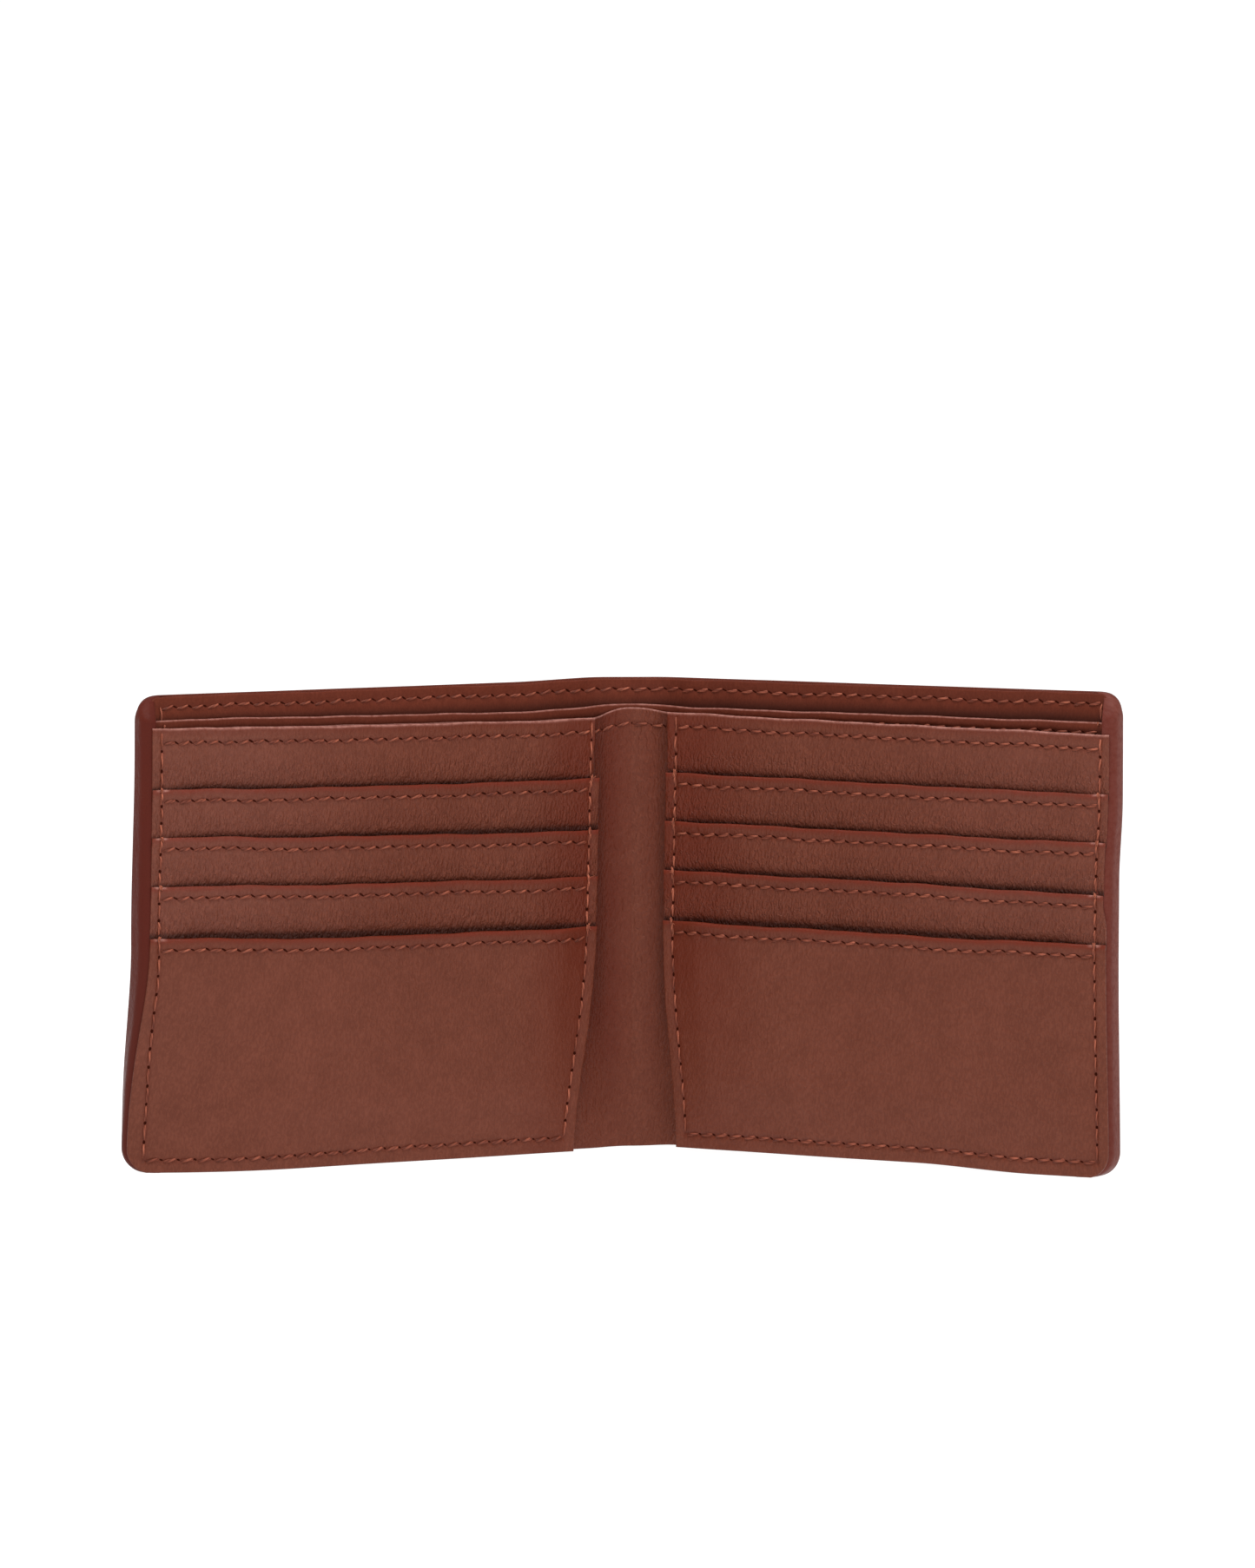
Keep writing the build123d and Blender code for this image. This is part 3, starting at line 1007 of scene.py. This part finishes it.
class Pocket(Sewn):
    """One layer of the card panel: the backing, a hanging pocket or the front pocket."""

    def __init__(self, side, index):
        span = PANEL_LAYERS[index]
        is_front = span is PANEL_LAYERS[-1]
        mouth_seam = MOUTH_SEAMS[index]
        self.side = side
        self.index = index
        self.seed = index + 5 * (side == "left")
        self.leather = span.inner - span.outer if index and not is_front else SHEET
        self.face_depth = span.inner
        self.low = span.low
        self.mouth = span.high
        self.next_mouth = None if is_front else PANEL_LAYERS[index + 1].high
        ends = inner_seam(side, mouth_seam), outer_seam(side, mouth_seam)
        low = self.next_mouth or BOTTOM_SEAM
        high = self.mouth if index else self.mouth - 0.6
        sag = 0.5 if is_front and side == "left" else 0.0     # of the foot seam at the free end
        self.seams = [
            Seam(side, True, level(mouth_seam, self.seed, 0.13), *ends),
            Seam(side, False, lambda z: inner_seam(side, z), low, high, SIDE_PITCH),
            Seam(side, False, lambda z: outer_seam(side, z), low - sag, high, SIDE_PITCH),
        ]
        if is_front:
            ends = inner_seam(side, BOTTOM_SEAM), outer_seam(side, BOTTOM_SEAM)
            foot = level(BOTTOM_SEAM, 2, 0.05)
            sewn = Seam(side, True, lambda t: foot(t) - sag * smooth((t - 45) / 45), *ends)
            sewn.thick = 1.12
            self.seams.append(sewn)

    def raised(self, t, z):
        """How far the piece lies above its level place: slots run a little askew."""
        up = panel_tilt(self.side, t) * MOUTH_LEAN[self.side][self.index]
        up = up - MOUTH_DROP[self.side][self.index]
        up = up + END_LIFT[self.side][self.index] * smooth((t - 76) / 22)
        if self.side == "right" and not self.index:
            up = up - 0.35 * smooth(t / 60)
        sway = 0.16 * wobble(t, self.seed) * smooth(1 - (self.mouth - z) / 6)
        return up * smooth(z / 25) + sway

    def flush(self, t, z):
        """Extra depth at the side seams, where the layers level out."""
        outer = (5.9 + 0.25 * self.index - self.face_depth) * turned_in(t)
        near_spine = 1 - smooth((t - inner_seam(self.side, z) + 2) / 9)
        return outer + 0.35 * (6.5 - self.face_depth) * near_spine

    def depth(self, t, z):
        """Depth of the visible face without its stitches."""
        free = pinned(self.side, t, z)
        lip = LIP * smooth(1 - (self.mouth - z) / 4.0) if self.index else 0.12
        swell = 0.35 + 0.65 * free
        if self.next_mouth:
            puff = PUFF * swell * smooth((self.mouth - z + 4) / 4)
            puff = puff - TUCK * swell * (1 - smooth((z - self.next_mouth) / 2.0))
        else:
            puff = (PUFF + 0.35) * free * smooth((z - BOTTOM_SEAM) / 12)
        return self.face_depth + self.flush(t, z) + lip * (0.25 + 0.75 * free) + puff

    def inner_edge(self, z):
        """t of the free edge beside the spine."""
        margin = EDGE_MARGIN[self.side][min(self.index, 1)]
        return inner_seam(self.side, z) - margin + 0.08 * wobble(z, self.seed, (19.0, 7.0))

    def outer_end(self, z):
        """Against the turned-in cover where it shows, tucked in behind the next mouth."""
        end = panel_end(self.side, z)
        if self.next_mouth is None:
            return end
        return end - 1.75 * smooth((self.next_mouth - 0.6 - z) / 0.8)


def make_pocket(pocket, name):
    """Mesh of a layer of the card panel."""
    side = pocket.side
    fine = [(pocket.mouth - 6, pocket.mouth), (0, 6)]
    if pocket.next_mouth:
        fine = [(pocket.next_mouth - 1.0, pocket.mouth)]
    rows = grid_lines(max(pocket.low, 0.12), pocket.mouth, 0.6, fine, 0.28)
    columns = grid_lines(PANEL_LAYERS[0].start, END, FINE_COLUMNS, [(END - 4, END)], 0.3)
    sheet = Sheet(side, columns, rows, pocket.inner_edge, pocket.outer_end)
    t, z = sheet.t, sheet.z
    face = pocket.face(t, z)
    hidden = 0
    if pocket.next_mouth:
        hidden = smooth((pocket.next_mouth - 0.3 - z) / 1.0)
        face = face * (1 - hidden) + (pocket.face_depth - 0.12) * hidden
    free = pinned(side, t, z)
    gap = 0.55 * LIP * smooth(1 - (pocket.mouth - z) / 4.0) * free if pocket.index else 0
    back = pocket.face_depth - pocket.leather + gap + pocket.flush(t, z) * (1 - hidden)
    back = np.minimum(back, face - 0.22)
    below = pocket.mouth - z
    past_seam = t - inner_seam(side, z)
    # Painted loss of sheen near the spine, where the other half keeps the light's reflection off;
    # just below each mouth the same channel marks real wear.
    reach = 17 if side == "left" else 27
    deep = smooth(1 - past_seam / reach) * (0.35 + 0.65 * smooth((z - 12) / 30))
    plain_below = 86 if side == "left" else 54
    deep = deep * (1 - 0.75 * smooth(-past_seam / 0.8) * smooth((plain_below - z) / 8))
    tone, lines = sheet.tone, sheet.lines
    tone[..., 0] = np.maximum(0.75 * smooth(1 - below / 2.4), 0.9 * deep)
    if pocket.index:
        lines[..., 1] = 0.95 * smooth(1 - (below - 0.35) / 0.8)
        # Painted highlight on the mouth beside the outer seam.
        at_seams = 1 - smooth((np.abs(t - outer_seam(side, z)) - 0.6) / 1.2)
        lines[..., 2] = 0.8 * at_seams * smooth(1 - (below - 0.2) / 0.35)
    else:
        # Painted highlight along the backing's top edge.
        lines[..., 2] = 0.9 * smooth(1 - (below - 0.12) / 0.3)
    if pocket.next_mouth:
        above = z - pocket.next_mouth
        # Painted shade in the crevice above the next mouth.
        tone[..., 1] = 0.8 * smooth(1 - (above - 0.1) / 1.2) ** 1.6
        tone[..., 2] = 0.1 + 0.9 * smooth(1 - above / 8.0)
        # Painted light: the strips lighter towards the free end.
        lines[..., 2] += (0.08 if side == "left" else 0.05) * smooth((t - 50) / 45)
    rims = {"high": 0.42, "start": 0.28, "end": 0.14, "low": 0.2}
    piece = build_sheet(
        f"{side}_{name}", sheet, face, back, PANEL, rims, pocket.seams, pocket.raised(t, z),
        uv_shift=0.37 * pocket.index,
    )
    attach(piece, side, [f"{side}_{name}"])


# ---- assembly of the halves
def sew(name, side, runs, nodes, seed, bend=False, outward=False):
    """Thread piece for some seams."""
    thread = Thread(side, seed, outward)
    for seam, face in runs:
        thread.sew(seam, face)
    attach(thread.build(name), side, nodes, bend)


def sew_panel(side, pockets, lining, divider, seed):
    """Side seams and foot seam of the card panel, with a knot at both ends of each mouth."""
    thread = Thread(side, seed)
    edge = DIVIDER.high - 1.6
    top = outer_seam(side, HEIGHT) - 1.35

    def top_face(t, z):
        """The side seam at the free end goes on up over the divider and the lining."""
        return np.where(z > edge, lining.face(t, z), divider.face(t, z)) + 0.1

    for low, high in ((INNER.high - 0.2, edge - 0.1), (edge + 0.1, TOP_SEAM + 0.2)):
        thread.strand(top_face, (top + 0.1, low), (top - 0.1, high), 0.21, bright=(0.6, 1.0))
    for pocket in pockets:
        least = 0.45 if pocket.next_mouth else 0.1
        for seam, bright in zip(pocket.seams[1:], ((least, 1.0), (least, 0.8), (0.0, 0.4))):
            thread.sew(*pocket.lifted(seam), bright)
        if pocket.index:
            for seam_at, size in ((inner_seam, 1.0), (outer_seam, 0.7)):
                t = seam_at(side, pocket.mouth)
                z = pocket.mouth + pocket.raised(np.float64(t), np.float64(pocket.mouth))
                thread.tack(pocket.lifted_face, t, z - 0.1, size)
    attach(thread.build(f"{side}_panel_stitches"), side, [f"{side}_panel_thread"])


def make_half(side):
    """Every piece of one half, with its share of the spine."""
    seed = 100 if side == "left" else 200
    make_cover(side)
    make_stiffener(side)

    lining = Layer(side, LINING.inner, LINING.high + 0.4, 0.35, TOP_SEAM)
    hem = DIVIDER.high - (2.9 if side == "left" else 2.2)
    divider = Layer(side, INNER.outer - 0.4, DIVIDER.high, 0.85, hem, divider_lift)
    hem = MOUTH_SEAMS[0]
    inner = Layer(side, INNER.inner, INNER.high - 0.15, 1.3, hem, panel_lift)
    inner.seams = [
        Seam(side, True, lambda t: hem - 0.55 * bump(t / 8), 0.0, inner_seam(side, hem))
    ]

    # Painted shade: a little over the whole right lining, deep in the compartment above the
    # divider, and on the divider just above the inner panel.
    base_shade = 0.0 if side == "left" else 0.09
    make_layer(
        lining, "lining", LINER, crossing(side, "cover_lining", "lining"),
        shade_at=lambda t, z: base_shade + 0.66 * smooth((DIVIDER.high + 0.8 - z) / 2.5), highlight=0.0,
    )
    make_layer(
        divider, "divider", LINER, crossing(side, "divider"),
        shade_at=lambda t, z: 0.6 * smooth((INNER.high + 1.6 - z) / 1.6),
    )
    make_layer(
        inner, "inner_panel", PANEL, crossing(side, "inner_panel"), ripples=0.05, hem_rim=0.4
    )

    pockets = [Pocket(side, index) for index in range(len(PANEL_LAYERS))]
    for pocket, name in zip(pockets, PANEL_NAMES):
        make_pocket(pocket, name)
    sew_panel(side, pockets, lining, divider, seed)
    for index, pocket in enumerate(pockets):
        label = f"slot_thread_{index}" if index else "panel_hem_thread"
        title = f"slot_stitches_{index}" if index else "panel_hem_stitches"
        run = [pocket.lifted(pocket.seams[0])]
        sew(f"{side}_{title}", side, run, [f"{side}_{label}"], seed + 1 + index)
    across = (
        ("cover_hem_stitches", lining, crossing(side, "cover_hem_thread")),
        ("divider_stitches", divider, crossing(side, "divider_thread")),
        ("spine_hem_stitches", inner, crossing(side, "panel_hem_thread")[1:]),
    )
    for index, (title, layer, nodes) in enumerate(across):
        run = [layer.lifted(layer.seams[0])]
        sew(f"{side}_{title}", side, run, nodes, seed + 10 + index, bend=True)
    run = [(seam, lambda t, z: 0 * t) for seam in cover_seams(side)]
    name, nodes = f"{side}_outer_stitches", [f"{side}_outer_thread"]
    sew(name, side, run, nodes, seed + 13, bend=True, outward=True)


for half in ("left", "right"):
    make_half(half)


# ---- floor, light and camera
FLOOR_REACH = 60.0                   # metres
FLOOR_GLOW = 0.98
HORIZON = 1.05                       # strength of the world at the horizon
SKY = 0.5                            # and above it
LIT_SPOT = (0, 0, 0.05)              # where both soft boxes point
CAMERA_DISTANCE = 2.081              # metres from the middle of the wallet
CAMERA_ASIDE = -0.0008
CAMERA_ABOVE = math.radians(5.0)     # the camera's place above the level
CAMERA_DOWN = math.radians(4.221)    # how far it looks down
CAMERA_LENS = 239.5


def make_stage():
    """Pale floor that runs to the horizon."""
    mesh = bpy.data.meshes.new("floor")
    low, high = -FLOOR_REACH, FLOOR_REACH
    corners = [(low, low, 0), (high, low, 0), (high, high, 0), (low, high, 0)]
    mesh.from_pydata(corners, [], [(0, 1, 2, 3)])
    shader = Shader("floor")
    shader.set(Base_Color=(0.35, 0.35, 0.35, 1), Roughness=0.9, Specular_IOR_Level=0.0)
    shader.set(Emission_Color=(1, 1, 1, 1), Emission_Strength=FLOOR_GLOW)
    mesh.materials.append(shader.material)
    add_object("floor", mesh)


def area_light(name, energy, size, location):
    """Soft box that shines on the middle of the wallet."""
    light = bpy.data.lights.new(name, "AREA")
    light.energy = energy
    light.shape = "RECTANGLE"
    light.size, light.size_y = size
    lamp = add_object(name, light)
    lamp.location = location
    direction = Vector(LIT_SPOT) - Vector(location)
    lamp.rotation_euler = direction.to_track_quat("-Z", "Y").to_euler()


def make_light():
    """White horizon, dim sky, a large soft box above and one in front on the right."""
    world = bpy.data.worlds.new("studio")
    world.use_nodes = True
    nodes = Nodes(world.node_tree)
    split = nodes.node("ShaderNodeSeparateXYZ", {0: nodes.coordinates("Generated")})
    steep = nodes.math("ABSOLUTE", split.outputs["Z"])
    background = world.node_tree.nodes["Background"]
    background.inputs["Color"].default_value = (1, 1, 1, 1)
    nodes.feed(background.inputs["Strength"], nodes.fit(steep, 0.02, 0.12, HORIZON, SKY))
    bpy.context.scene.world = world
    area_light("top_box", 13.5, (1.2, 0.8), (-0.1, -0.35, 1.2))
    area_light("key_box", 6.3, (0.9, 0.9), (0.85, -1.3, 0.95))
    bpy.context.scene.view_settings.view_transform = "Standard"


def make_camera():
    """Long lens a little above the wallet, looking along the row's +Y."""
    camera = bpy.data.cameras.new("camera")
    camera.sensor_fit = "VERTICAL"
    camera.sensor_height = 36
    camera.lens = CAMERA_LENS
    camera.clip_end = 100
    view = add_object("camera", camera)
    middle = HEIGHT / 2 * MM
    away = CAMERA_DISTANCE * math.cos(CAMERA_ABOVE)
    view.location = (CAMERA_ASIDE, -away, middle + CAMERA_DISTANCE * math.sin(CAMERA_ABOVE))
    view.rotation_euler = (math.pi / 2 - CAMERA_DOWN, 0, 0)
    bpy.context.scene.camera = view


make_stage()
make_light()
make_camera()
